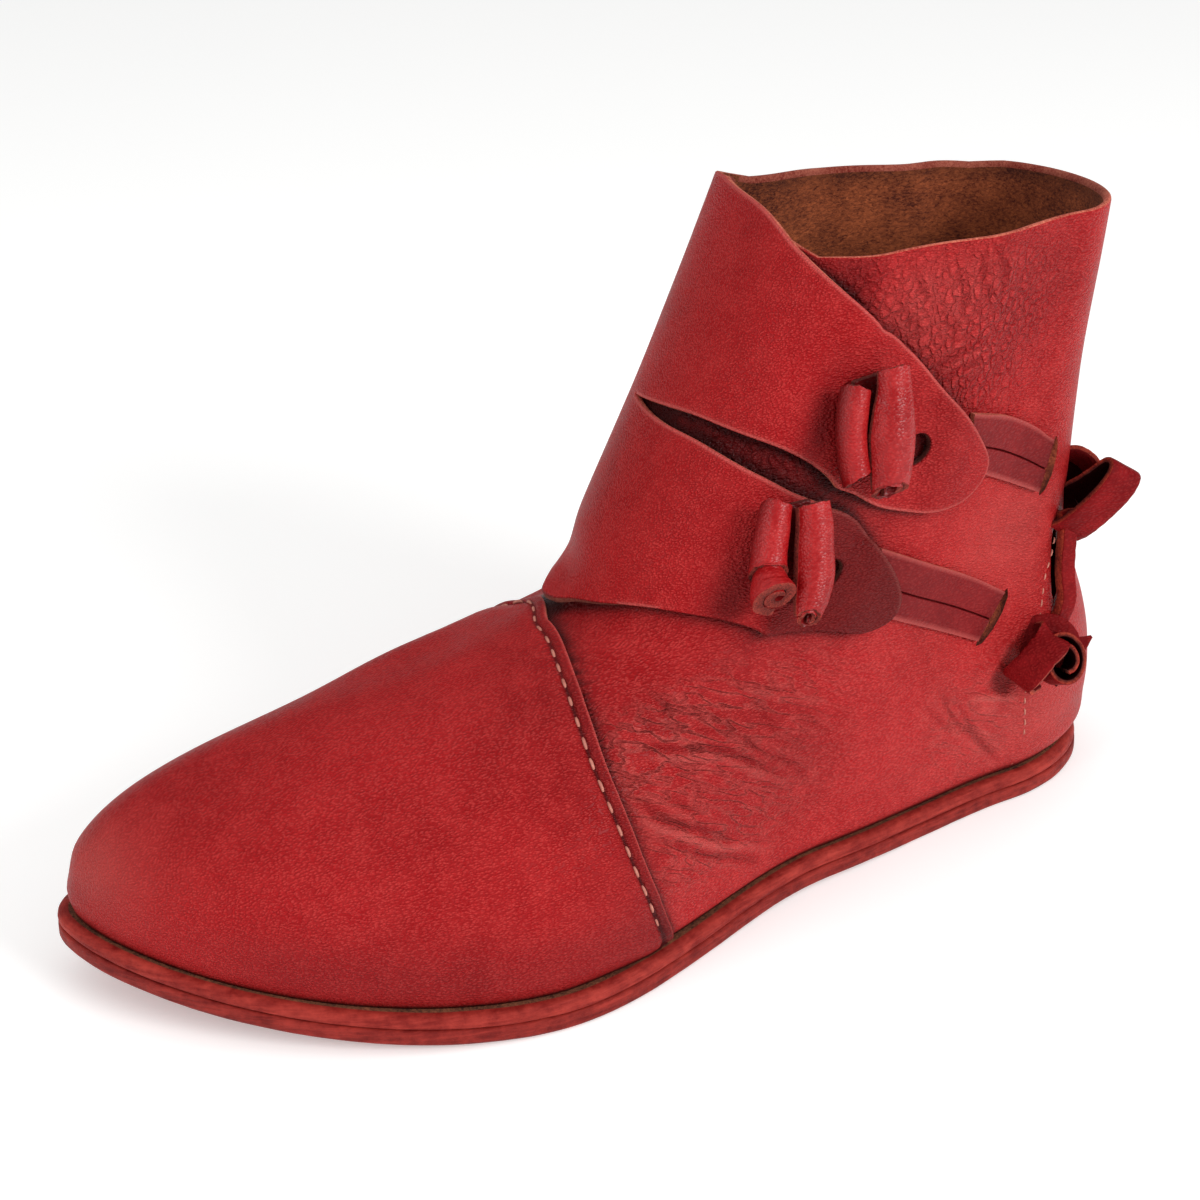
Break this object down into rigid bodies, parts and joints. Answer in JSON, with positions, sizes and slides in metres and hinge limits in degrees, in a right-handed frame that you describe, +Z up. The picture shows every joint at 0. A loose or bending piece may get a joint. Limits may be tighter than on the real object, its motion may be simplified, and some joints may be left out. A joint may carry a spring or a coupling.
{
  "type": "medieval leather ankle boot",
  "caption": "Left leather ankle boot with a lapped vamp, a flap wrapped over the ankle and held by rolled leather toggles, thong ties at the back, and a layered leather sole",
  "frame": {"origin": "on the floor under the middle of the boot's box", "axes": "+Y from toe to heel, +X towards the outer side of the left foot, +Z up"},
  "size_m": [0.102, 0.2874, 0.1705],
  "materials": {
    "red_leather": "red dyed, fine grain, low sheen",
    "strap_leather": "red dyed, raw cut edges",
    "sole_leather": "red-brown dyed edge, matt",
    "insole_leather": "brown, flesh side up, matt"
  },
  "bodies": {
    "root": {"outsole": "sole_leather", "midsole": "sole_leather", "insole": "insole_leather", "upper": "red_leather", "wrap_flap": "red_leather", "toggle_upper": "red_leather", "toggle_lower": "red_leather", "strap_upper": "strap_leather", "strap_lower": "strap_leather", "knot_upper": "strap_leather", "knot_lower": "strap_leather", "back_thong": "strap_leather"}
  },
  "joints": []
}
